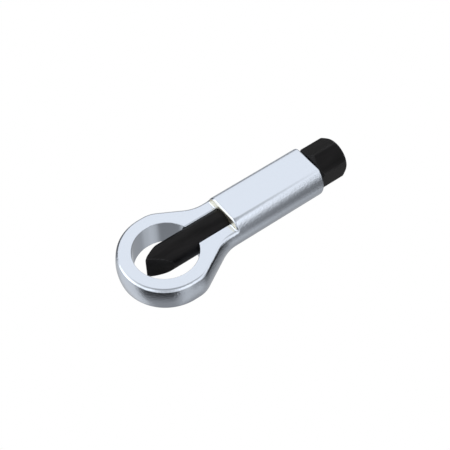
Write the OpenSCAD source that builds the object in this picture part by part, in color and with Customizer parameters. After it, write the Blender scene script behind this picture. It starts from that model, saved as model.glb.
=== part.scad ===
// Nut splitter: a forged ring and shank, a round chisel and a forcing screw with a hexagon head.
// Origin: centre of the ring's bore, on the underside. +X runs along the tool to the hexagon.
// The chisel stands fully forward, as when a nut has just been split.

/* [Ring and neck] */
// Bore of the ring that takes the nut
ring_bore_d = 28.5; // [24:0.5:33]
// Wall of the ring around its bore
ring_wall = 7; // [5.5:0.25:8.5]
// Thickness of the ring and of the neck plate
ring_h = 12.8; // [11.8:0.2:14]
// Depth ground off the forging's two faces
face_grind = 0.04; // [0.02:0.01:0.1]
// Rounding of the ring's outer edges
ring_edge_r = 1.25; // [0.6:0.05:1.8]
// Rounding of the flanks' edges
flank_edge_r = 1; // [0.5:0.05:1.5]
// Chamfer at both mouths of the ring's bore
bore_chamfer = 0.35; // [0.1:0.05:0.8]
// How far the shoulders stand out of the ring's circle
shoulder_stand = 0.4; // [0.2:0.05:0.55]
// Angle between each tapering flank and the tool's axis
flank_angle = 30; // [27:0.5:34]
// Radius of the hollow in which a flank runs into the shank
flank_hollow_r = 16; // [8:0.5:18]
// Width of the neck's foot, which the flanks run into below the round of the shank
neck_foot_w = 19.6; // [18:0.2:21]
// Length of the neck from the ring's outer circle to the step
neck_len = 8.25; // [7:0.25:12]
// Chamfer of the neck's upper edges, measured across its top
neck_chamfer = 1.3; // [0.6:0.1:1.8]
// How far the neck closes over each side of the chisel bore
slot_lip = 1.3; // [1.1:0.05:1.6]

/* [Shank] */
// Diameter of the shank
shank_d = 23; // [21.5:0.25:26]
// Distance across the shank's two flats
shank_h = 17; // [16.5:0.25:19]
// Length of the shank from the step to its rear end
shank_len = 46.8; // [42:0.2:60]
// Fillet at the foot of the step
step_root_r = 0.8; // [0.4:0.1:1.4]
// Rounding of the step's upper edge
step_top_r = 1.2; // [0.5:0.1:1.6]
// Rounding of the step's side edges
step_side_r = 0.9; // [0.4:0.1:1.2]
// Rounding of the shank's rear edge
shank_end_r = 1; // [0.4:0.1:1.6]
// Length of the plain bore behind the step, in front of the thread
guide_len = 14.5; // [12.5:0.5:18]

/* [Chisel] */
// Diameter of the chisel
chisel_d = 12.5; // [11.6:0.1:12.6]
// Clearance between the chisel and its bore, on the radius
chisel_clear = 0.1; // [0.04:0.02:0.16]
// Included angle of the cutting edge
edge_angle = 62; // [50:1:75]
// Width of the land left on the cutting edge
edge_land = 0.2; // [0.1:0.05:0.5]
// Distance from the cutting edge to the far wall of the ring
edge_gap = 4.25; // [3:0.25:8]
// Chamfer at the two ends of the cutting edge
edge_end_chamfer = 1.1; // [0.3:0.1:1.6]
// Chamfer at the chisel's tail
tail_chamfer = 0.5; // [0.2:0.1:0.8]
// Stroke of the chisel
stroke = 20; // [14:1:24]

/* [Forcing screw] */
// Major diameter of the thread
thread_d = 14; // [13.6:0.1:14.6]
// Clearance of the thread in the shank, on the radius
thread_clear = 0.05; // [0.02:0.01:0.1]
// Countersink at the mouth of the thread
thread_mouth = 0.6; // [0.3:0.1:0.8]
// Chamfer at the front of the thread
thread_front_chamfer = 0.8; // [0.4:0.1:1.2]
// Distance across the flats of the hexagon
hex_af = 17; // [15.5:0.5:19]
// Length of the hexagon
hex_len = 15.1; // [11:0.1:20]
// Depth of the hexagon's end chamfers, measured at the flats
hex_bevel = 0.5; // [0.2:0.05:1]
// Turn of the hexagon from corner-up
hex_clocking = 3.5; // [0:0.5:30]
// Gap between the hexagon and the shank with the screw driven home
hex_gap = 0.5; // [0.3:0.1:2]
// Gap between the front of the thread and the end of its bore
front_gap = 0.3; // [0.2:0.1:1]

/* [Swivel joint in the chisel's tail] */
// Diameter of the screw's spigot
spigot_d = 7; // [6:0.25:7.5]
// Clearance of the spigot in its socket, on the radius
spigot_clear = 0.05; // [0.02:0.01:0.1]
// Depth of the socket
socket_depth = 8; // [7.2:0.2:9.5]
// Gap between the chisel's tail and the shoulder of the screw
tail_gap = 0.8; // [0.4:0.1:1.5]
// Diameter of each retaining pin
retaining_pin_d = 2; // [1.6:0.1:2.2]
// Depth of the groove that the retaining pins run in
groove_depth = 1; // [0.6:0.1:1.2]
// Clearance of the retaining pins in the groove
groove_clear = 0.1; // [0.05:0.05:0.3]
// Distance from the chisel's tail to the retaining pins
retaining_inset = 3.2; // [2.6:0.1:4]
// How far the retaining pins' ends lie below the chisel's skin
retaining_sink = 0.2; // [0.1:0.1:0.5]
// Diameter of the thrust ball
ball_d = 5; // [4:0.25:5.5]
// How far the ball stands out of its pocket
ball_proud = 0.6; // [0.3:0.1:1]
// Clearance around the ball
ball_clear = 0.03; // [0.02:0.01:0.1]

/* [Guide pin] */
// Diameter of the pin that keeps the chisel from turning
guide_pin_d = 4; // [3:0.25:4.5]
// Distance from the step to the guide pin
guide_pin_inset = 6.5; // [5:0.25:8]
// How far the guide pin's outer end lies below the shank's skin
guide_pin_sink = 0.3; // [0.1:0.1:0.8]
// Depth of the keyway in the chisel
keyway_depth = 1.3; // [0.8:0.1:1.6]
// Clearance of the guide pin in the keyway
keyway_clear = 0.1; // [0.05:0.05:0.2]

/* [Hidden] */

$fn = 96;

// Overrun of a cutting body past the face that it cuts
over = 1;
// Offset that keeps smooth faces from meeting at a bare tangent
seam = 0.03;

forged_colour = [0.84, 0.86, 0.91];
blackened_colour = [0.11, 0.11, 0.12];
pin_colour = [0.6, 0.61, 0.63];
ball_colour = [0.78, 0.79, 0.8];

axis_z = shank_h / 2;
ring_r = ring_bore_d / 2 + ring_wall;
shoulder_edge_r = (ring_edge_r + flank_edge_r) / 2;
shank_r = shank_d / 2;
step_x = ring_r + neck_len;
shank_end_x = step_x + shank_len;
thread_x = step_x + guide_len;
bore_r = chisel_d / 2 + chisel_clear;
thread_bore_r = thread_d / 2 + thread_clear;
slot_w = 2 * (bore_r - slot_lip);

chisel_r = chisel_d / 2;
edge_x = edge_gap - ring_bore_d / 2;
shoulder_x = thread_x + front_gap;
tail_x = shoulder_x - tail_gap;

socket_r = spigot_d / 2 + spigot_clear;
socket_x = tail_x - socket_depth;
pocket_x = socket_x - ball_d + ball_proud;
ball_x = pocket_x + ball_clear + ball_d / 2;
spigot_x = ball_x + ball_d / 2 + ball_clear;
retaining_x = tail_x - retaining_inset;
groove_r = spigot_d / 2 - groove_depth;
retaining_y = groove_r + groove_clear + retaining_pin_d / 2;
retaining_skin = sqrt(pow(chisel_r, 2) - pow(retaining_y + retaining_pin_d / 2, 2));
retaining_len = 2 * (retaining_skin - retaining_sink);

guide_pin_x = step_x + guide_pin_inset;
keyway_y = chisel_r - keyway_depth;
guide_pin_tip_y = keyway_y + keyway_clear;
guide_pin_skin = sqrt(pow(shank_r, 2) - pow(guide_pin_d / 2, 2));
guide_pin_len = guide_pin_skin - guide_pin_sink - guide_pin_tip_y;

hex_x = shank_end_x + hex_gap;
hex_end_x = hex_x + hex_len;
hex_corner_r = hex_af / 2 / cos(30);
hex_face_r = hex_af / 2 - hex_bevel;

// Turns a flat profile drawn in Y and Z into a bar along X, from x0 to x1.
module bar_along_x(x0, x1) {
    translate([x0, 0, 0]) rotate([90, 0, 90]) linear_extrude(x1 - x0) children();
}

// Turns a profile of (radius, x) about the tool's axis.
module turned() {
    translate([0, 0, axis_z]) rotate([0, 90, 0]) rotate_extrude() children();
}

// A rod along the tool's axis.
module axial_rod(r, x0, x1) {
    translate([x0, 0, axis_z]) rotate([0, 90, 0]) cylinder(r = r, h = x1 - x0);
}

// What a fillet of radius r leaves in, or a rounding takes off, a corner at the origin.
module corner_spandrel(r) {
    difference() {
        square(r);
        translate([r, r]) circle(r);
    }
}

// Section of the forged plate from u0 to u1, with its edges at u1 rounded, before its faces are ground.
module rounded_plate_section(u0, u1, edge_r) {
    forged_h = ring_h + 2 * face_grind;
    translate([0, -face_grind]) difference() {
        translate([u0, 0]) square([u1 - u0, forged_h]);
        translate([u1, 0]) mirror([1, 0]) corner_spandrel(edge_r);
        translate([u1, forged_h]) rotate(180) corner_spandrel(edge_r);
    }
}

// The head's plate up to one straight outer edge, which lies the given distance from the origin.
module edged_plate(distance, edge_r) {
    bar_along_x(-2 * step_x, 2 * step_x) rounded_plate_section(-2 * step_x, distance, edge_r);
}

// One side of the head: a shoulder along the tool, then the flank that tapers to the neck.
module flanked_side() {
    intersection() {
        edged_plate(ring_r, ring_edge_r);
        rotate(-flank_angle) edged_plate(ring_r, flank_edge_r);
    }
}

// Turns the shoulders' corners down to a circle, and leaves the flanks behind them as they are.
module shoulder_round() {
    flanks_x = ring_r * sin(flank_angle);
    rotate_extrude() rounded_plate_section(0, ring_r + shoulder_stand, shoulder_edge_r);
    translate([flanks_x, -step_x, -over]) cube([step_x, 2 * step_x, ring_h + 2 * over]);
}

// Hollow in which one flank runs into the neck's foot.
module foot_hollow() {
    hollow_y = neck_foot_w / 2 + flank_hollow_r;
    hollow_x = (ring_r - seam + flank_hollow_r - hollow_y * cos(flank_angle)) / sin(flank_angle);
    buried = shank_r / 2;
    translate([hollow_x, hollow_y, 0]) rotate(-90 - flank_angle) rotate_extrude(angle = flank_angle)
        mirror([1, 0]) rounded_plate_section(-flank_hollow_r - buried, -flank_hollow_r, flank_edge_r);
}

// The round front half of the ring and the tapering head behind it, ground flat on both faces.
module head() {
    intersection() {
        translate([-step_x, -step_x, 0]) cube([3 * step_x, 2 * step_x, ring_h]);
        union() {
            foot_hollow();
            mirror([0, 1, 0]) foot_hollow();
            rotate(90) rotate_extrude(angle = 180) rounded_plate_section(0, ring_r, ring_edge_r);
            intersection() {
                translate([0, -step_x, -over]) cube([step_x, 2 * step_x, ring_h + 2 * over]);
                flanked_side();
                mirror([0, 1, 0]) flanked_side();
                shoulder_round();
            }
        }
    }
}

// Hollow in which the flanks run into the round of the shank, at the height of the axis.
module flank_hollow() {
    hollow_r = shank_r + flank_hollow_r;
    hollow_x = (ring_r - seam + flank_hollow_r - hollow_r * cos(flank_angle)) / sin(flank_angle);
    flare_x = hollow_x - flank_hollow_r * sin(flank_angle);
    flare_r = hollow_r - flank_hollow_r * cos(flank_angle);
    intersection() {
        turned() difference() {
            polygon([[0, flare_x], [flare_r, flare_x], [shank_r - seam, hollow_x], [0, hollow_x]]);
            translate([hollow_r - seam, hollow_x]) circle(flank_hollow_r);
        }
        translate([0, -step_x, 0]) cube([step_x, 2 * step_x, ring_h]);
    }
}

// Round bar of the shank, with its rear edge rounded.
module round_bar() {
    turned() difference() {
        translate([0, ring_bore_d / 4]) square([shank_r, shank_end_x - ring_bore_d / 4]);
        translate([shank_r, shank_end_x]) rotate(180) corner_spandrel(shank_end_r);
    }
}

// What chamfers one upper edge of the neck, square to the round of the bar.
module neck_edge_cut() {
    edge_y = sqrt(pow(shank_r, 2) - pow(ring_h - axis_z, 2));
    slope = (90 + asin((ring_h - axis_z) / shank_r)) / 2;
    translate([edge_y - neck_chamfer, ring_h]) rotate(slope - 90) square([shank_d, shank_h]);
}

// What rounds the side edges of the step.
module step_side_cut() {
    inner_r = shank_r - step_side_r;
    intersection() {
        turned() difference() {
            translate([inner_r, 0]) square([step_side_r + over, step_x + step_side_r]);
            translate([inner_r, step_x + step_side_r]) circle(step_side_r);
        }
        translate([0, -step_x, ring_h]) cube([2 * step_x, 2 * step_x, shank_h]);
    }
}

// Side view of the neck plate, the step and the shank's flats.
module side_profile() {
    difference() {
        translate([step_x, 0]) square([shank_len, shank_h]);
        translate([step_x, shank_h]) mirror([0, 1]) corner_spandrel(step_top_r);
        translate([shank_end_x, shank_h]) rotate(180) corner_spandrel(shank_end_r);
        translate([shank_end_x, 0]) mirror([1, 0]) corner_spandrel(shank_end_r);
    }
    square([step_x + over, ring_h]);
    translate([step_x, ring_h]) mirror([1, 0]) corner_spandrel(step_root_r);
}

// The shank: the round bar cut to its flats, its step and the neck plate, with the flare of its hollows.
module shank() {
    difference() {
        union() {
            flank_hollow();
            intersection() {
                round_bar();
                rotate([90, 0, 0]) linear_extrude(2 * step_x, center = true) side_profile();
            }
        }
        for (side = [0, 1]) {
            mirror([0, side, 0]) bar_along_x(0, step_x - step_root_r) neck_edge_cut();
        }
        step_side_cut();
    }
}

// The nut's bore through the ring, with a chamfer at each mouth.
module nut_bore() {
    bore_radius = ring_bore_d / 2;
    mouth_radius = bore_radius + bore_chamfer;
    translate([0, 0, -over]) cylinder(r = bore_radius, h = ring_h + 2 * over);
    cylinder(r1 = mouth_radius, r2 = bore_radius, h = bore_chamfer);
    translate([0, 0, ring_h - bore_chamfer]) cylinder(r1 = bore_radius, r2 = mouth_radius, h = bore_chamfer);
}

// The chisel's bore, open at the top along the neck, and the thread's bore behind it.
module axial_bores() {
    mouth_x = shank_end_x - thread_mouth;
    axial_rod(bore_r, 0, thread_x + over);
    translate([0, -slot_w / 2, axis_z]) cube([step_x, slot_w, shank_h]);
    axial_rod(thread_bore_r, thread_x, shank_end_x + over);
    translate([mouth_x, 0, axis_z]) rotate([0, 90, 0])
        cylinder(r1 = thread_bore_r, r2 = thread_bore_r + thread_mouth, h = thread_mouth);
}

module guide_pin_place(y) {
    translate([guide_pin_x, y, axis_z]) rotate([-90, 0, 0]) children();
}

module frame() {
    color(forged_colour) difference() {
        union() {
            head();
            shank();
        }
        nut_bore();
        axial_bores();
        guide_pin_place(0) cylinder(d = guide_pin_d, h = shank_d);
    }
}

// Plan view of the chisel, with the two bevels that meet in its cutting edge.
module chisel_plan() {
    half_w = chisel_r + over;
    bevel_len = (half_w - edge_land / 2) / tan(edge_angle / 2);
    polygon([
        [edge_x, -edge_land / 2],
        [edge_x + bevel_len, -half_w],
        [tail_x + over, -half_w],
        [tail_x + over, half_w],
        [edge_x + bevel_len, half_w],
        [edge_x, edge_land / 2]
    ]);
}

module chisel_blank() {
    turned() polygon([
        [0, edge_x],
        [chisel_r - edge_end_chamfer, edge_x],
        [chisel_r, edge_x + edge_end_chamfer],
        [chisel_r, tail_x - tail_chamfer],
        [chisel_r - tail_chamfer, tail_x],
        [0, tail_x]
    ]);
}

// Round-ended keyway, as long as the stroke, in the side of the chisel.
module keyway() {
    keyway_r = guide_pin_d / 2 + keyway_clear;
    depth = keyway_depth + over;
    translate([0, keyway_y, 0]) {
        for (back = [0, stroke]) {
            translate([-back, 0, 0]) guide_pin_place(0) cylinder(r = keyway_r, h = depth);
        }
        translate([guide_pin_x - stroke, 0, axis_z - keyway_r]) cube([stroke, depth, 2 * keyway_r]);
    }
}

module retaining_places() {
    for (side = [-1, 1]) {
        translate([retaining_x, side * retaining_y, axis_z]) children();
    }
}

module chisel() {
    color(blackened_colour) difference() {
        intersection() {
            chisel_blank();
            linear_extrude(shank_h) chisel_plan();
        }
        keyway();
        axial_rod(socket_r, socket_x, tail_x + over);
        axial_rod(ball_d / 2 + ball_clear, pocket_x, tail_x);
        retaining_places() cylinder(d = retaining_pin_d, h = chisel_d, center = true);
    }
}

// Turned part of the screw: swivel spigot with its groove, and the threaded length.
module screw_shaft() {
    groove_half = retaining_pin_d / 2 + groove_clear;
    spigot_r = spigot_d / 2;
    thread_r = thread_d / 2;
    turned() polygon([
        [0, spigot_x],
        [spigot_r, spigot_x],
        [spigot_r, retaining_x - groove_half],
        [groove_r, retaining_x - groove_half],
        [groove_r, retaining_x + groove_half],
        [spigot_r, retaining_x + groove_half],
        [spigot_r, shoulder_x],
        [thread_r - thread_front_chamfer, shoulder_x],
        [thread_r, shoulder_x + thread_front_chamfer],
        [thread_r, hex_x + over],
        [0, hex_x + over]
    ]);
}

// The hexagon, with both ends turned to a 45 degree chamfer.
module hexagon_head() {
    bevel_r = hex_corner_r + over - hex_face_r;
    intersection() {
        translate([hex_x, 0, axis_z]) rotate([hex_clocking, 0, 0]) rotate([0, 90, 0])
            cylinder(r = hex_corner_r, h = hex_len, $fn = 6);
        turned() polygon([
            [0, hex_x],
            [hex_face_r, hex_x],
            [hex_face_r + bevel_r, hex_x + bevel_r],
            [hex_face_r + bevel_r, hex_end_x - bevel_r],
            [hex_face_r, hex_end_x],
            [0, hex_end_x]
        ]);
    }
}

module forcing_screw() {
    color(blackened_colour) union() {
        screw_shaft();
        hexagon_head();
    }
}

module guide_pin() {
    color(pin_colour) guide_pin_place(guide_pin_tip_y) cylinder(d = guide_pin_d, h = guide_pin_len);
}

module retaining_pins() {
    color(pin_colour) retaining_places() cylinder(d = retaining_pin_d, h = retaining_len, center = true);
}

module thrust_ball() {
    color(ball_colour) translate([ball_x, 0, axis_z]) sphere(d = ball_d);
}

frame();
chisel();
forcing_screw();
guide_pin();
retaining_pins();
thrust_ball();
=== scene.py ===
"""Nut splitter: the looks of a forged frame, a blackened chisel and its forcing screw."""

import math

import bmesh
import bpy
import numpy as np
from mathutils import Matrix, Vector


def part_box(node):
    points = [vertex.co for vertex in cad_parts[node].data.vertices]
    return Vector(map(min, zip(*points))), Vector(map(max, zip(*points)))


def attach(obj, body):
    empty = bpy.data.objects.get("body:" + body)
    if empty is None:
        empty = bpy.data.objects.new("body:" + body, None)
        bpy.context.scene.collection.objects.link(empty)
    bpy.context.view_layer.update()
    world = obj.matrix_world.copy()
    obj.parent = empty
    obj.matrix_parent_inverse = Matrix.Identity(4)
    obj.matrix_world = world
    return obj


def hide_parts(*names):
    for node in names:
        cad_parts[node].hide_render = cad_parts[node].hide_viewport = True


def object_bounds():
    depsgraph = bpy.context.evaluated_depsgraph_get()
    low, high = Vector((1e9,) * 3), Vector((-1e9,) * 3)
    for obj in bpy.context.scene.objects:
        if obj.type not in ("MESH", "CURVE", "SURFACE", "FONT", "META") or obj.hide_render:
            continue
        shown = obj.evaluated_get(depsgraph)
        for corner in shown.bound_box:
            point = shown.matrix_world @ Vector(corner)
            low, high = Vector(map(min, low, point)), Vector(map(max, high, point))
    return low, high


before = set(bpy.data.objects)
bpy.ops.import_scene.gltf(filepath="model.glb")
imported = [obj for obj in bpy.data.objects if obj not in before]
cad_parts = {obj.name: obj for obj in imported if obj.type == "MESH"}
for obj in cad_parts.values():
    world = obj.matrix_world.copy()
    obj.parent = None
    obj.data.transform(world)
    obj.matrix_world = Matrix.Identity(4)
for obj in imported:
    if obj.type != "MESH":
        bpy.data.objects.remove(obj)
cad_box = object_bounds()


# Camera. The photograph is taken from above the ring's left side with a long lens.
# Its place and focal length were fitted to the edges of the frame and the hexagon.
MM = 0.001
IMAGE_PX = 450
SENSOR_MM = 36
FOCAL_PX = 1065.0
CAMERA_TARGET = Vector((33.1, 3.53, 0)) * MM
CAMERA_DISTANCE = 463.4 * MM
CAMERA_AZIMUTH = math.radians(-35.85)
CAMERA_ELEVATION = math.radians(52.64)
CAMERA_ROLL = math.radians(-1.22)
CLIP_START = 10 * MM

away = Vector((-math.sin(CAMERA_AZIMUTH), math.cos(CAMERA_AZIMUTH), 0))
backward = Vector((0, 0, math.sin(CAMERA_ELEVATION))) - away * math.cos(CAMERA_ELEVATION)
level_right = Vector((math.cos(CAMERA_AZIMUTH), math.sin(CAMERA_AZIMUTH), 0))
level_up = backward.cross(level_right)
right = level_right * math.cos(CAMERA_ROLL) + level_up * math.sin(CAMERA_ROLL)
up = level_up * math.cos(CAMERA_ROLL) - level_right * math.sin(CAMERA_ROLL)

scene = bpy.context.scene
camera_data = bpy.data.cameras.new("product_camera")
camera_data.sensor_width = SENSOR_MM
camera_data.lens = FOCAL_PX / IMAGE_PX * SENSOR_MM
camera_data.clip_start = CLIP_START
camera = bpy.data.objects.new("product_camera", camera_data)
camera.matrix_world = Matrix.Translation(CAMERA_TARGET + backward * CAMERA_DISTANCE) @ (
    Matrix((right, up, backward)).transposed().to_4x4()
)
scene.collection.objects.link(camera)
scene.camera = camera


# Stage. A white paper sweep that is lit evenly from behind, so that it keeps no shadow.
# Reflections look past it, to the studio's softboxes and dark walls.
PAPER_SIZE = 4000 * MM
PAPER_GAP = 1.5 * MM
PAPER_PANELS = 48


def linear(hex_colour):
    """Turns an sRGB hex colour into linear RGBA."""
    parts = [int(hex_colour[i : i + 2], 16) / 255 for i in (1, 3, 5)]
    return tuple(c / 12.92 if c < 0.04045 else ((c + 0.055) / 1.055) ** 2.4 for c in parts) + (1.0,)


def add(tree, kind, settings=None, **links):
    """Adds a node, with its settings, and with values or links for its inputs."""
    node = tree.nodes.new(kind)
    for name, value in (settings or {}).items():
        setattr(node, name, value)
    for name, value in links.items():
        key = int(name[1:]) if name[1:].isdigit() else name.replace("_", " ")
        socket = node.inputs[key]
        if isinstance(value, bpy.types.NodeSocket):
            tree.links.new(value, socket)
        else:
            socket.default_value = value
    return node


scene.view_settings.view_transform = "Standard"

paper_material = bpy.data.materials.new("white_paper")
paper_material.use_nodes = True
tree = paper_material.node_tree
tree.nodes.clear()
glow = add(tree, "ShaderNodeEmission", Color=linear("#FFFFFF"), Strength=1.0)
add(tree, "ShaderNodeOutputMaterial", Surface=glow.outputs[0])

mesh = bpy.data.meshes.new("paper_sweep")
bm = bmesh.new()
bmesh.ops.create_grid(bm, x_segments=1, y_segments=1, size=PAPER_SIZE / 2)
bmesh.ops.translate(bm, verts=bm.verts, vec=(0, 0, cad_box[0][2] - PAPER_GAP))
bm.to_mesh(mesh)
bm.free()
mesh.materials.append(paper_material)
paper = bpy.data.objects.new("paper_sweep", mesh)
scene.collection.objects.link(paper)
paper.visible_glossy = False

# The same paper stands all round, so that a low view doesn't look over its edge.
mesh = bpy.data.meshes.new("paper_tent")
bm = bmesh.new()
bmesh.ops.create_uvsphere(
    bm, u_segments=PAPER_PANELS, v_segments=PAPER_PANELS // 2, radius=PAPER_SIZE / 2
)
bm.to_mesh(mesh)
bm.free()
mesh.materials.append(paper_material)
tent = bpy.data.objects.new("paper_tent", mesh)
scene.collection.objects.link(tent)
tent.visible_diffuse = False
tent.visible_glossy = False
tent.visible_shadow = False

# The studio that shows in the plating. Each height of the pale tent is an elevation in degrees and
# a brightness. Each softbox or dark opening has an azimuth, a half-width and its soft margin, the
# elevations between which it fades in and out, and a brightness. A later one hides an earlier.
TENT_HEIGHTS = [
    (-90, 0.25),
    (-70, 0.34),
    (-56, 0.52),
    (-10, 0.62),
    (10, 0.95),
    (59, 1.06),
    (67, 0.55),
    (80, 0.42),
    (90, 0.4),
]
PANELS = [
    (-120, 54, 10, (8, 20, 55, 68), 1.3),
    (-126, 20, 10, (8, 18, 60, 72), 0.62),
    (-56, 16, 6, (-52, -24, -10, 18), 0.21),
    (-146, 44, 10, (-82, -28, -12, 2), 0.03),
    (-8, 36, 10, (-70, -25, 22, 38), 0.03),
    (-76, 8, 6, (-84, -72, -44, -34), 0.58),
    (58, 26, 10, (-75, -50, -14, -8), 0.6),
    (64, 26, 10, (-14, -8, 8, 24), 0.32),
    (100, 18, 8, (-45, -30, 20, 34), 0.12),
    (146, 28, 14, (-78, -66, -25, -10), 0.72),
    (148, 22, 10, (4, 14, 44, 54), 1.8),
]
world = bpy.data.worlds.new("studio")
world.use_nodes = True
scene.world = world
tree = world.node_tree
tree.nodes.clear()
look = add(tree, "ShaderNodeTexCoord").outputs["Generated"]
height = add(tree, "ShaderNodeSeparateXYZ", Vector=look).outputs["Z"]
rise = add(tree, "ShaderNodeMath", {"operation": "ARCSINE"}, _0=height).outputs[0]
share = add(tree, "ShaderNodeMapRange", Value=rise, From_Min=-math.pi / 2, From_Max=math.pi / 2)
ramp = add(tree, "ShaderNodeValToRGB", Fac=share.outputs["Result"])
while len(ramp.color_ramp.elements) < len(TENT_HEIGHTS):
    ramp.color_ramp.elements.new(1.0)
for element, (elevation, brightness) in zip(ramp.color_ramp.elements, TENT_HEIGHTS):
    element.position = (elevation + 90) / 180
    element.color = (brightness, brightness, brightness, 1.0)
glow = ramp.outputs["Color"]
level_look = add(
    tree, "ShaderNodeVectorMath", {"operation": "MULTIPLY"}, _0=look, _1=(1.0, 1.0, 0.0)
)
compass = add(tree, "ShaderNodeVectorMath", {"operation": "NORMALIZE"}, _0=level_look.outputs[0])
for azimuth, half_width, margin, elevations, brightness in PANELS:
    turn = math.radians(azimuth)
    towards = (math.cos(turn), math.sin(turn), 0.0)
    ahead = add(
        tree, "ShaderNodeVectorMath", {"operation": "DOT_PRODUCT"},
        _0=compass.outputs[0], _1=towards,
    )
    sides = [math.cos(math.radians(half_width + m)) for m in (margin, -margin)]
    fade_in, full, full_to, fade_out = (math.radians(e) for e in elevations)
    cover = 1.0
    for value, outer, inner in (
        (ahead.outputs["Value"], *sides),
        (rise, fade_in, full),
        (rise, fade_out, full_to),
    ):
        edge = add(
            tree, "ShaderNodeMapRange", {"interpolation_type": "SMOOTHSTEP"},
            Value=value, From_Min=outer, From_Max=inner,
        )
        covered = add(
            tree, "ShaderNodeMath", {"operation": "MULTIPLY"},
            _0=cover, _1=edge.outputs["Result"],
        )
        cover = covered.outputs[0]
    shade = (brightness, brightness, brightness, 1.0)
    mixed = add(tree, "ShaderNodeMix", {"data_type": "RGBA"}, _0=cover, _6=glow, _7=shade)
    glow = mixed.outputs[2]
background = add(tree, "ShaderNodeBackground", Color=glow, Strength=1.0)
add(tree, "ShaderNodeOutputWorld", Surface=background.outputs[0])


# Frame. Ring, neck and shank are one drop forging in alloy steel, with corners that melt into
# each other. Its flats are ground, its bores drilled and threaded, and it is plated in satin
# chrome. Its mesh is the skin of a distance field, because such corners have no plain faces.
RING_BORE_R = 14.25
RING_H = 12.8
RING_EDGE_R = 1.2
BARREL_R = 22.0
FLANK_ANGLE = math.radians(30)
SHOULDER_MELT = 1.6
HOLLOW_MELT = 2.2
SHANK_R = 11.5
STEP_X = 29.5
STEP_ROOT_R = 0.8
STEP_TOP_R = 1.2
FLAT_EDGE_R = 0.9
EDGE_FADE = 3.5
SHANK_END_R = 1.0
BORE_R = 6.35
SLOT_W = 10.1
THREAD_X = 44.0
THREAD_BORE_R = 7.05
THREAD_MOUTH = 0.6
RING_MOUTH_R = 0.2
MOUTH_EDGE_R = 0.3
LIP_CHAMFER = 0.6
GUIDE_PIN_X = 36.0
GUIDE_PIN_R = 2.0
FORGING_PITCH = 0.3
GRID_MARGIN = 1.5
SLOPE_STEP = 1e-3
LEAST_SLOPE = 0.1
SETTLING_ROUNDS = 8
SAME_POINT = 0.02
FLAT_ENOUGH = math.radians(0.3)
SQUARE_ON = 0.99999

low, high = (Vector(corner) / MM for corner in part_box("frame"))
RING_R = high.y
SHANK_H = high.z
SHANK_END_X = high.x
AXIS_Z = SHANK_H / 2


def rounded_max(a, b, radius):
    """Keeps what is inside both distances, and rounds the edge in which they meet."""
    outer = np.hypot(np.maximum(a + radius, 0), np.maximum(b + radius, 0))
    return np.minimum(np.maximum(a, b), -radius) + outer


def melted_min(a, b, reach):
    """Keeps what is inside either distance, and melts the corner in which they meet."""
    overlap = np.maximum(reach - np.abs(a - b), 0)
    return np.minimum(a, b) - overlap**2 / (4 * reach)


def forging(x, y, z):
    """Distance in mm from a point to the skin of the forged, ground and bored frame."""
    half = np.abs(y)
    across = np.hypot(half, z - AXIS_Z)
    # Ring and flanks, barrelled in height, melt into the round shank.
    flank = x * math.sin(FLANK_ANGLE) + half * math.cos(FLANK_ANGLE) - RING_R
    shoulders = -melted_min(RING_R - half, -flank, SHOULDER_MELT)
    plan = np.where(x < 0, np.hypot(x, half) - RING_R, shoulders)
    plan = plan + (z - RING_H / 2) ** 2 / (2 * BARREL_R)
    sides = melted_min(plan, np.maximum(across - SHANK_R, -x), HOLLOW_MELT)
    # Flats above and below, and the milled step across, with softer edges on the ring.
    edge_r = RING_EDGE_R + (FLAT_EDGE_R - RING_EDGE_R) * np.clip((x - STEP_X) / EDGE_FADE, 0, 1)
    block = rounded_max(STEP_X - x, z - SHANK_H, STEP_TOP_R)
    top = -rounded_max(-block, RING_H - z, STEP_ROOT_R)
    body = rounded_max(rounded_max(sides, top, edge_r), -z, edge_r)
    body = rounded_max(body, x - SHANK_END_X, SHANK_END_R)
    body = rounded_max(body, RING_BORE_R - np.hypot(x, y), RING_MOUTH_R)
    # The chisel's bore, the slot above it, the slot's lips, the thread and the pin's hole.
    mouth = np.maximum(x - SHANK_END_X + THREAD_MOUTH, 0)
    lip = math.sqrt(BORE_R**2 - (RING_H - AXIS_Z) ** 2) + LIP_CHAMFER
    slot_ends = np.maximum(np.maximum(-x, x - STEP_X), z - RING_H - LIP_CHAMFER)
    bores = [
        np.maximum(across - BORE_R, -x),
        np.maximum(np.maximum(half - SLOT_W / 2, AXIS_Z - z), slot_ends),
        np.maximum((half - lip + RING_H - z) / math.sqrt(2), slot_ends),
        np.maximum(across - THREAD_BORE_R - mouth, THREAD_X - x),
        np.maximum(np.hypot(x - GUIDE_PIN_X, z - AXIS_Z) - GUIDE_PIN_R, -y),
    ]
    return rounded_max(body, -np.minimum.reduce(bores), MOUTH_EDGE_R)


def slope(distance, points):
    """Direction in which a distance grows fastest at each point."""
    shifts = np.eye(3) * SLOPE_STEP
    rise = [distance(*(points + s).T) - distance(*(points - s).T) for s in shifts]
    return np.stack(rise, axis=1) / (2 * SLOPE_STEP)


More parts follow.
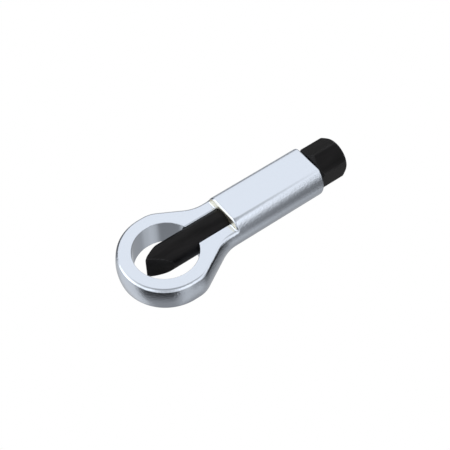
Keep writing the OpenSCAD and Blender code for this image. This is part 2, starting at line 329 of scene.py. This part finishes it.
def skin(name, distance, low, high, pitch, join_flats):
    """Mesh of the surface on which a distance in mm is zero, with its exact normals."""
    margin = GRID_MARGIN * pitch
    axes = [np.arange(a - margin, b + margin + pitch, pitch) for a, b in zip(low, high)]
    grid = np.meshgrid(*axes, indexing="ij")
    inside = distance(*grid) < 0
    # Each cell with corners inside and outside gets a point, which then settles on the surface.
    count = sum(
        inside[i : i - 1 or None, j : j - 1 or None, k : k - 1 or None].astype(int)
        for i in (0, 1)
        for j in (0, 1)
        for k in (0, 1)
    )
    mixed = (count > 0) & (count < 8)
    number = np.full(mixed.shape, -1)
    number[mixed] = np.arange(mixed.sum())
    points = np.array([a[0] for a in axes]) + (np.argwhere(mixed) + 0.5) * pitch
    for _ in range(SETTLING_ROUNDS):
        climb = slope(distance, points)
        length = np.maximum((climb**2).sum(axis=1), LEAST_SLOPE)
        move = np.clip(distance(*points.T) / length, -pitch / 2, pitch / 2)
        points = points - climb * move[:, None]
    # Each grid line that crosses the surface gets a quad through the four cells round it.
    quads = []
    for axis in range(3):
        order = (axis, (axis + 1) % 3, (axis + 2) % 3)
        solid = inside.transpose(order)
        cell = number.transpose(order)
        leaving = solid[:-1] & ~solid[1:]
        entering = ~solid[:-1] & solid[1:]
        for crossing, corners in ((leaving, (0, 1, 2, 3)), (entering, (3, 2, 1, 0))):
            i, j, k = np.nonzero(crossing)
            around = [cell[i, j - 1, k - 1], cell[i, j, k - 1], cell[i, j, k], cell[i, j - 1, k]]
            quads.append(np.stack([around[c] for c in corners], axis=1))
    mesh = bpy.data.meshes.new(name)
    mesh.from_pydata((points * MM).tolist(), [], np.concatenate(quads).tolist())
    bm = bmesh.new()
    bm.from_mesh(mesh)
    bmesh.ops.remove_doubles(bm, verts=bm.verts, dist=SAME_POINT * pitch * MM)
    if join_flats:
        bmesh.ops.dissolve_limit(bm, angle_limit=FLAT_ENOUGH, verts=bm.verts, edges=bm.edges)
    bm.to_mesh(mesh)
    bm.free()
    mesh.shade_smooth()
    # Ground flats keep their own normal, and all other faces take the distance's slope.
    corners = np.empty(len(mesh.vertices) * 3)
    mesh.vertices.foreach_get("co", corners)
    normals = slope(distance, corners.reshape(-1, 3) / MM)
    normals /= np.linalg.norm(normals, axis=1)[:, None]
    at_corners = []
    for face in mesh.polygons:
        square_on = max(abs(face.normal.x), abs(face.normal.z)) > SQUARE_ON
        ground_flat = square_on and len(face.vertices) > 4
        at_corners += [face.normal if ground_flat else normals[v] for v in face.vertices]
    mesh.normals_split_custom_set([tuple(n) for n in at_corners])
    return mesh


def piece(name, mesh, material):
    """Puts a finished mesh into the scene as one piece of the tool."""
    mesh.materials.append(material)
    made = bpy.data.objects.new(name, mesh)
    scene.collection.objects.link(made)
    return made


# Satin chrome over forged steel. Cool and bright, soft in its reflections, smooth on the ground
# flats and finely pebbled on the sides, where the scale was blasted off before plating. The
# milled step is duller, and it is painted warmer: a painted glow of warm light on that face.
FORGED_GRAIN = 0.9 * MM
FORGED_DEPTH = 0.13 * MM
SATIN_GRAIN = 0.25 * MM
SATIN_GLOSS = (0.15, 0.22)
MILLED_GLOSS = 0.38
FLAT_FACING = (0.99, 0.85)
MILLED_FACING = (-0.75, -0.95)
END_FACING = (0.9, 0.7)
END_GRAIN = 0.8
STEP_REACH = 1.0
BORE_REACH = (0.6, 1.2)
chrome = bpy.data.materials.new("satin_chrome_on_forged_steel")
chrome.use_nodes = True
tree = chrome.node_tree
shader = tree.nodes["Principled BSDF"]
place = add(tree, "ShaderNodeTexCoord")
spot = add(tree, "ShaderNodeSeparateXYZ", Vector=place.outputs["Object"])
facing = add(tree, "ShaderNodeSeparateXYZ", Vector=place.outputs["Normal"])
level = add(tree, "ShaderNodeMath", {"operation": "ABSOLUTE"}, _0=facing.outputs["Z"])
sides = add(
    tree, "ShaderNodeMapRange", {"interpolation_type": "SMOOTHSTEP"},
    Value=level.outputs[0], From_Min=FLAT_FACING[0], From_Max=FLAT_FACING[1],
)
forward = add(
    tree, "ShaderNodeMapRange", {"interpolation_type": "SMOOTHSTEP"},
    Value=facing.outputs["X"], From_Min=MILLED_FACING[0], From_Max=MILLED_FACING[1],
)
behind_ring = add(
    tree, "ShaderNodeMath", {"operation": "GREATER_THAN"},
    _0=spot.outputs["X"], _1=(STEP_X - STEP_REACH) * MM,
)
# Mask of the milled step, which is rougher and also carries the painted warm glow.
milled_face_painted_warm = add(
    tree, "ShaderNodeMath", {"operation": "MULTIPLY"},
    _0=forward.outputs["Result"], _1=behind_ring.outputs[0],
)
pebble = add(
    tree, "ShaderNodeTexNoise",
    Vector=place.outputs["Object"], Scale=1 / FORGED_GRAIN, Detail=3.0, Roughness=0.6,
)
satin = add(
    tree, "ShaderNodeTexNoise",
    Vector=place.outputs["Object"], Scale=1 / SATIN_GRAIN, Detail=2.0, Roughness=0.5,
)
gloss = add(
    tree, "ShaderNodeMapRange",
    Value=satin.outputs["Fac"], To_Min=SATIN_GLOSS[0], To_Max=SATIN_GLOSS[1],
)
dull = add(
    tree, "ShaderNodeMix", {"data_type": "FLOAT"},
    _0=milled_face_painted_warm.outputs[0], _2=gloss.outputs["Result"], _3=MILLED_GLOSS,
)
# The milled step's warm tint is painted light, a warm glow put into its colour.
tone = add(
    tree, "ShaderNodeMix", {"data_type": "RGBA"},
    _0=milled_face_painted_warm.outputs[0], _6=linear("#DAE2EE"), _7=linear("#E8E2CC"),
)
level_spot = add(
    tree, "ShaderNodeVectorMath", {"operation": "MULTIPLY"},
    _0=place.outputs["Object"], _1=(1.0, 1.0, 0.0),
)
from_axis = add(tree, "ShaderNodeVectorMath", {"operation": "LENGTH"}, _0=level_spot.outputs[0])
unbored = add(
    tree, "ShaderNodeMapRange",
    Value=from_axis.outputs["Value"],
    From_Min=(RING_BORE_R + BORE_REACH[0]) * MM, From_Max=(RING_BORE_R + BORE_REACH[1]) * MM,
)
unfaced = add(
    tree, "ShaderNodeMapRange",
    Value=facing.outputs["X"], From_Min=END_FACING[0], From_Max=END_FACING[1], To_Max=END_GRAIN,
)
pebbled = add(
    tree, "ShaderNodeMath", {"operation": "MULTIPLY"},
    _0=sides.outputs["Result"], _1=unbored.outputs["Result"],
)
pebble_depth = add(
    tree, "ShaderNodeMath", {"operation": "MULTIPLY"},
    _0=pebbled.outputs[0], _1=unfaced.outputs["Result"],
)
relief = add(
    tree, "ShaderNodeBump",
    Strength=pebble_depth.outputs[0], Distance=FORGED_DEPTH, Height=pebble.outputs["Fac"],
)
tree.links.new(tone.outputs[2], shader.inputs["Base Color"])
tree.links.new(dull.outputs[0], shader.inputs["Roughness"])
tree.links.new(relief.outputs[0], shader.inputs["Normal"])
shader.inputs["Metallic"].default_value = 1.0

mesh = skin("forged_frame", forging, low, high, FORGING_PITCH, True)
forged_frame = piece("forged_frame", mesh, chrome)
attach(forged_frame, "frame")
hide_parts("frame")


# Guide pin. A ground dowel pressed into the shank's far side, whose tip runs in the keyway.
# Bright steel, with soft rings from the grinding wheel and a few smudges.
GRINDING_RING = 1.885 * MM
GRINDING_DEPTH = 0.02 * MM
WAVES_PER_SCALE = 20 / math.tau
SMUDGE = 2 * MM
GROUND_GLOSS = (0.22, 0.4)
pin_steel = bpy.data.materials.new("ground_bearing_steel")
pin_steel.use_nodes = True
tree = pin_steel.node_tree
shader = tree.nodes["Principled BSDF"]
place = add(tree, "ShaderNodeTexCoord").outputs["Object"]
rings = add(
    tree, "ShaderNodeTexWave", {"wave_type": "BANDS", "bands_direction": "Y"},
    Vector=place, Scale=1 / (WAVES_PER_SCALE * GRINDING_RING), Distortion=0.6, Detail=2.0,
)
smudge = add(tree, "ShaderNodeTexNoise", Vector=place, Scale=1 / SMUDGE, Detail=3.0)
gloss = add(
    tree, "ShaderNodeMapRange",
    Value=smudge.outputs["Fac"], To_Min=GROUND_GLOSS[0], To_Max=GROUND_GLOSS[1],
)
tone = add(tree, "ShaderNodeValToRGB", Fac=rings.outputs["Fac"])
tone.color_ramp.elements[0].color = linear("#A7AAAE")
tone.color_ramp.elements[1].color = linear("#BEC1C5")
relief = add(
    tree, "ShaderNodeBump", Strength=0.15, Distance=GRINDING_DEPTH, Height=rings.outputs["Fac"]
)
tree.links.new(tone.outputs["Color"], shader.inputs["Base Color"])
tree.links.new(gloss.outputs["Result"], shader.inputs["Roughness"])
tree.links.new(relief.outputs[0], shader.inputs["Normal"])
shader.inputs["Metallic"].default_value = 1.0
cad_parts["guide_pin"].material_slots[0].material = pin_steel


# Chisel. A round bar of hardened tool steel, ground to a blunt wedge, with a keyway in its side
# and a socket in its tail for the screw. It is blackened all over and wiped with oil.
EDGE_ANGLE = math.radians(62)
EDGE_LAND = 0.2
EDGE_END = 1.1
TAIL_CHAMFER = 0.5
SOFT_EDGE_R = 0.15
KEYWAY_R = 2.1
KEYWAY_Y = 4.95
STROKE = 20.0
SOCKET_R = 3.55
SOCKET_X = 35.5
POCKET_R = 2.53
POCKET_X = 31.1
RETAINING_X = 40.3
RETAINING_Y = 3.6
RETAINING_R = 1.0
CHISEL_PITCH = 0.25
WORN_TURN = math.radians(30)

low, high = (Vector(corner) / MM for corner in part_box("chisel"))
CHISEL_R = high.y
EDGE_X = low.x
TAIL_X = high.x


def chisel_form(x, y, z):
    """Distance in mm from a point to the skin of the ground and drilled chisel."""
    half = np.abs(y)
    across = np.hypot(half, z - AXIS_Z)
    lean = EDGE_ANGLE / 2
    bevel = (half - EDGE_LAND / 2) * math.cos(lean) - (x - EDGE_X) * math.sin(lean)
    nose = (across - CHISEL_R + EDGE_END - x + EDGE_X) / math.sqrt(2)
    tail = (across - CHISEL_R + TAIL_CHAMFER + x - TAIL_X) / math.sqrt(2)
    body = across - CHISEL_R
    for cut in (nose, bevel, EDGE_X - x, tail, x - TAIL_X):
        body = rounded_max(body, cut, SOFT_EDGE_R)
    along = np.clip(x, GUIDE_PIN_X - STROKE, GUIDE_PIN_X)
    hollows = [
        np.maximum(np.hypot(x - along, z - AXIS_Z) - KEYWAY_R, KEYWAY_Y - y),
        np.maximum(across - SOCKET_R, SOCKET_X - x),
        np.maximum(across - POCKET_R, POCKET_X - x),
        np.hypot(x - RETAINING_X, half - RETAINING_Y) - RETAINING_R,
    ]
    return rounded_max(body, -np.minimum.reduce(hollows), SOFT_EDGE_R)


def mark_wear(mesh):
    """Stores how sharply the faces turn at each point, which is where blacking rubs off."""
    bm = bmesh.new()
    bm.from_mesh(mesh)
    wear = bm.verts.layers.float.new("wear")
    for vert in bm.verts:
        turns = [edge.calc_face_angle(0.0) for edge in vert.link_edges]
        vert[wear] = min(max(turns, default=0.0) / WORN_TURN, 1.0)
    bm.to_mesh(mesh)
    bm.free()


# Black oxide on hardened steel. Almost black, with a soft sheen in streaks along the bar where the
# oil was wiped, fine drawn marks in the same direction, and edges rubbed to dark grey.
STREAK = 4 * MM
STREAK_STRETCH = (0.2, 1.0, 1.0)
STREAK_SPREAD = (0.3, 0.7)
OILED_GLOSS = (0.3, 0.48)
OXIDE_SHEEN = 0.09
DRAWN_MARK = 0.35 * MM
DRAWN_STRETCH = (0.05, 1.0, 1.0)
DRAWN_DEPTH = 0.02 * MM
RUBBED_SPREAD = (0.35, 0.65)
black = bpy.data.materials.new("black_oxide_on_hardened_steel")
black.use_nodes = True
tree = black.node_tree
shader = tree.nodes["Principled BSDF"]
place = add(tree, "ShaderNodeTexCoord").outputs["Object"]
wiped = add(tree, "ShaderNodeMapping", Vector=place, Scale=STREAK_STRETCH)
streaks = add(
    tree, "ShaderNodeTexNoise",
    Vector=wiped.outputs[0], Scale=1 / STREAK, Detail=4.0, Roughness=0.6,
)
drawn = add(tree, "ShaderNodeMapping", Vector=place, Scale=DRAWN_STRETCH)
marks = add(tree, "ShaderNodeTexNoise", Vector=drawn.outputs[0], Scale=1 / DRAWN_MARK, Detail=3.0)
gloss = add(
    tree, "ShaderNodeMapRange",
    Value=streaks.outputs["Fac"], From_Min=STREAK_SPREAD[0], From_Max=STREAK_SPREAD[1],
    To_Min=OILED_GLOSS[0], To_Max=OILED_GLOSS[1],
)
tone = add(tree, "ShaderNodeValToRGB", Fac=streaks.outputs["Fac"])
tone.color_ramp.elements[0].position = STREAK_SPREAD[0]
tone.color_ramp.elements[0].color = linear("#0B0B0C")
tone.color_ramp.elements[1].position = STREAK_SPREAD[1]
tone.color_ramp.elements[1].color = linear("#1F1E1F")
wear = add(tree, "ShaderNodeAttribute", {"attribute_name": "wear"})
patchy = add(
    tree, "ShaderNodeMapRange",
    Value=marks.outputs["Fac"], From_Min=RUBBED_SPREAD[0], From_Max=RUBBED_SPREAD[1],
)
rubbed = add(
    tree, "ShaderNodeMath", {"operation": "MULTIPLY"},
    _0=wear.outputs["Fac"], _1=patchy.outputs["Result"],
)
colour = add(
    tree, "ShaderNodeMix", {"data_type": "RGBA"},
    _0=rubbed.outputs[0], _6=tone.outputs["Color"], _7=linear("#3A3A3C"),
)
relief = add(
    tree, "ShaderNodeBump", Strength=0.2, Distance=DRAWN_DEPTH, Height=marks.outputs["Fac"]
)
tree.links.new(colour.outputs[2], shader.inputs["Base Color"])
tree.links.new(gloss.outputs["Result"], shader.inputs["Roughness"])
tree.links.new(relief.outputs[0], shader.inputs["Normal"])
shader.inputs["Specular IOR Level"].default_value = OXIDE_SHEEN

mesh = skin("blackened_chisel", chisel_form, low, high, CHISEL_PITCH, False)
mark_wear(mesh)
blackened_chisel = piece("blackened_chisel", mesh, black)
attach(blackened_chisel, "chisel")
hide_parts("chisel")


# Thrust ball and retaining pins. A bearing ball takes the screw's push in the chisel's tail, and
# two ground pins across the socket hold the screw's spigot by its groove. All are bright steel.
POLISHED_GLOSS = (0.06, 0.14)
ball_steel = pin_steel.copy()
ball_steel.name = "polished_bearing_steel"
for node in ball_steel.node_tree.nodes:
    if node.bl_idname == "ShaderNodeMapRange":
        node.inputs["To Min"].default_value = POLISHED_GLOSS[0]
        node.inputs["To Max"].default_value = POLISHED_GLOSS[1]
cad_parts["thrust_ball"].material_slots[0].material = ball_steel
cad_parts["retaining_pins"].material_slots[0].material = pin_steel


# Forcing screw. Turned from hexagon bar: a swivel spigot with a groove, a fine rolled thread and
# a hexagon for the spanner. It is hardened and blackened like the chisel.
SPIGOT_R = 3.5
GROOVE_R = 2.5
GROOVE_HALF = 1.1
SHOULDER_X = 44.3
FRONT_CHAMFER = 0.8
THREAD_R = 7.0
THREAD_PITCH = 1.0
THREAD_DEPTH = 0.54
THREAD_CREST = 0.15
RUNOUT_TURNS = 2.0
ROWS_PER_TURN = 10
HEX_X = 76.8
HEX_AF = 17.0
HEX_BEVEL = 0.5
HEX_CLOCKING = math.radians(3.5)
HEX_EDGE_R = 0.16
HEX_ROW = 0.6
BROKEN_FROM = math.radians(20)
SHARP_FROM = math.radians(35)
OVERLAP = 1.0
AROUND = 96
SAME_PLACE = 0.001 * MM

low, high = (Vector(corner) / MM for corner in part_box("forcing_screw"))
SPIGOT_X = low.x
HEX_END_X = high.x
HEX_FACE_R = HEX_AF / 2 - HEX_BEVEL


def rolled_thread(length, start, radius, depth, pitch, chamfer, around):
    """Geometry Nodes tree that rolls a helical thread into a bar along X, all in metres."""
    tree = bpy.data.node_groups.new("rolled_thread", "GeometryNodeTree")
    settings = {
        "Length": length, "Start": start, "Radius": radius, "Depth": depth,
        "Pitch": pitch, "Chamfer": chamfer, "Axis height": AXIS_Z * MM,
    }
    for name in settings:
        tree.interface.new_socket(name, in_out="INPUT", socket_type="NodeSocketFloat")
    tree.interface.new_socket("Material", in_out="INPUT", socket_type="NodeSocketMaterial")
    tree.interface.new_socket("Geometry", in_out="OUTPUT", socket_type="NodeSocketGeometry")
    given = add(tree, "NodeGroupInput").outputs
    rows = int(length / pitch * ROWS_PER_TURN) + 1
    sheet = add(
        tree, "GeometryNodeMeshGrid",
        Size_X=given["Length"], Size_Y=1.0, Vertices_X=rows, Vertices_Y=around + 1,
    )
    here = add(tree, "GeometryNodeInputPosition")
    spot = add(tree, "ShaderNodeSeparateXYZ", Vector=here.outputs[0])
    found = {name: given[name] for name in settings}
    found["along"] = spot.outputs["X"]
    found["turn"] = spot.outputs["Y"]
    # Each row is the name of a result, its operation and the two values that go into it.
    for name, operation, first, second in (
        ("half length", "DIVIDE", "Length", 2.0),
        ("reach", "ADD", "along", "half length"),
        ("left", "SUBTRACT", "Length", "reach"),
        ("advance", "DIVIDE", "reach", "Pitch"),
        ("turns", "ADD", "advance", "turn"),
        ("part of a turn", "FRACT", "turns", 0.0),
        ("both flanks", "MULTIPLY", "part of a turn", 2.0),
        ("from the crest", "SUBTRACT", "both flanks", 1.0),
        ("flank", "ABSOLUTE", "from the crest", 0.0),
        ("below the crest", "SUBTRACT", "flank", THREAD_CREST),
        ("fall", "DIVIDE", "below the crest", 1 - 2 * THREAD_CREST),
        ("kept crest", "MAXIMUM", "fall", 0.0),
        ("groove", "MINIMUM", "kept crest", 1.0),
        ("full cut", "MULTIPLY", "groove", "Depth"),
        ("runout length", "MULTIPLY", "Pitch", RUNOUT_TURNS),
        ("to the end", "DIVIDE", "left", "runout length"),
        ("before the end", "MAXIMUM", "to the end", 0.0),
        ("runout", "MINIMUM", "before the end", 1.0),
        ("cut", "MULTIPLY", "full cut", "runout"),
        ("lead-in", "SUBTRACT", "Chamfer", "reach"),
        ("taper", "MAXIMUM", "lead-in", 0.0),
        ("removed", "MAXIMUM", "cut", "taper"),
        ("radius", "SUBTRACT", "Radius", "removed"),
        ("angle", "MULTIPLY", "turn", math.tau),
        ("cosine", "COSINE", "angle", 0.0),
        ("sine", "SINE", "angle", 0.0),
        ("x", "ADD", "reach", "Start"),
        ("y", "MULTIPLY", "radius", "cosine"),
        ("rise", "MULTIPLY", "radius", "sine"),
        ("z", "ADD", "rise", "Axis height"),
    ):
        found[name] = add(
            tree, "ShaderNodeMath", {"operation": operation},
            _0=found.get(first, first), _1=found.get(second, second),
        ).outputs[0]
    place = add(tree, "ShaderNodeCombineXYZ", X=found["x"], Y=found["y"], Z=found["z"])
    wrapped = add(
        tree, "GeometryNodeSetPosition",
        Geometry=sheet.outputs["Mesh"], Position=place.outputs[0],
    )
    closed = add(
        tree, "GeometryNodeMergeByDistance", Geometry=wrapped.outputs[0], Distance=SAME_PLACE
    )
    whole = add(tree, "GeometryNodeRealizeInstances", Geometry=closed.outputs[0])
    finished = add(
        tree, "GeometryNodeSetMaterial", Geometry=whole.outputs[0], Material=given["Material"]
    )
    add(tree, "NodeGroupOutput", _0=finished.outputs[0])
    return tree, settings


def plain_mesh(made):
    """Turns an object with its modifiers into a plain mesh, and removes the object."""
    evaluated = made.evaluated_get(bpy.context.evaluated_depsgraph_get())
    mesh = bpy.data.meshes.new_from_object(evaluated)
    bpy.data.objects.remove(made)
    return mesh


def turned_rings(name, profile_at):
    """Mesh of rings about the tool's axis. The profile gives (radius, x) in mm for each angle."""
    bm = bmesh.new()
    columns = []
    for j in range(AROUND):
        angle = math.tau * j / AROUND
        turned = angle + math.pi / 2 + HEX_CLOCKING
        column = []
        for radius, x in profile_at(angle):
            y = radius * math.cos(turned)
            z = AXIS_Z + radius * math.sin(turned)
            column.append(bm.verts.new(Vector((x, y, z)) * MM))
        columns.append(column)
    for near, far in zip(columns, columns[1:] + columns[:1]):
        for i in range(len(near) - 1):
            bm.faces.new((near[i], near[i + 1], far[i + 1], far[i]))
    bmesh.ops.remove_doubles(bm, verts=bm.verts, dist=SAME_PLACE)
    bmesh.ops.recalc_face_normals(bm, faces=bm.faces)
    mesh = bpy.data.meshes.new(name)
    bm.to_mesh(mesh)
    bm.free()
    return mesh


def hexagon_profile(angle):
    """Outline of the hexagon at an angle from its first corner, with its turned ends."""
    from_flat = (angle % (math.pi / 3)) - math.pi / 6
    radius = HEX_AF / 2 / math.cos(from_flat)
    slant = radius - HEX_FACE_R
    front, back = HEX_X + slant, HEX_END_X - slant
    rows = [front, front + HEX_ROW, (front + back) / 2, back - HEX_ROW, back]
    return [
        (0, HEX_X),
        (HEX_FACE_R, HEX_X),
        *((radius, x) for x in rows),
        (HEX_FACE_R, HEX_END_X),
        (0, HEX_END_X),
    ]


def spigot_profile(_):
    """Outline of the swivel spigot, which runs a little way into the thread's core."""
    return [
        (0, SPIGOT_X),
        (SPIGOT_R, SPIGOT_X),
        (SPIGOT_R, RETAINING_X - GROOVE_HALF),
        (GROOVE_R, RETAINING_X - GROOVE_HALF),
        (GROOVE_R, RETAINING_X + GROOVE_HALF),
        (SPIGOT_R, RETAINING_X + GROOVE_HALF),
        (SPIGOT_R, SHOULDER_X + OVERLAP),
        (0, SHOULDER_X + OVERLAP),
    ]


rolled = bpy.data.objects.new("rolled_thread", bpy.data.meshes.new("rolled_thread"))
scene.collection.objects.link(rolled)
group, settings = rolled_thread(
    (HEX_X + OVERLAP - SHOULDER_X) * MM, SHOULDER_X * MM, THREAD_R * MM, THREAD_DEPTH * MM,
    THREAD_PITCH * MM, FRONT_CHAMFER * MM, AROUND,
)
rolling = rolled.modifiers.new("rolled_thread", "NODES")
rolling.node_group = group
for socket in group.interface.items_tree:
    if socket.in_out == "INPUT":
        rolling[socket.identifier] = settings.get(socket.name, black)
thread_mesh = plain_mesh(rolled)

head = bpy.data.objects.new("hexagon", turned_rings("hexagon", hexagon_profile))
scene.collection.objects.link(head)
rounding = head.modifiers.new("broken_edges", "BEVEL")
rounding.width = HEX_EDGE_R * MM
rounding.segments = 2
rounding.limit_method = "ANGLE"
rounding.angle_limit = BROKEN_FROM
head_mesh = plain_mesh(head)
spigot_mesh = turned_rings("spigot", spigot_profile)

bm = bmesh.new()
bm.from_mesh(thread_mesh)
bmesh.ops.holes_fill(bm, edges=[edge for edge in bm.edges if edge.is_boundary], sides=0)
bmesh.ops.recalc_face_normals(bm, faces=bm.faces)
bm.from_mesh(head_mesh)
bm.from_mesh(spigot_mesh)
screw_mesh = bpy.data.meshes.new("blackened_screw")
bm.to_mesh(screw_mesh)
bm.free()
for used in (thread_mesh, head_mesh, spigot_mesh):
    bpy.data.meshes.remove(used)
mark_wear(screw_mesh)
screw_mesh.shade_smooth()
screw_mesh.set_sharp_from_angle(angle=SHARP_FROM)
blackened_screw = piece("blackened_screw", screw_mesh, black)
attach(blackened_screw, "screw")
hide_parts("forcing_screw")
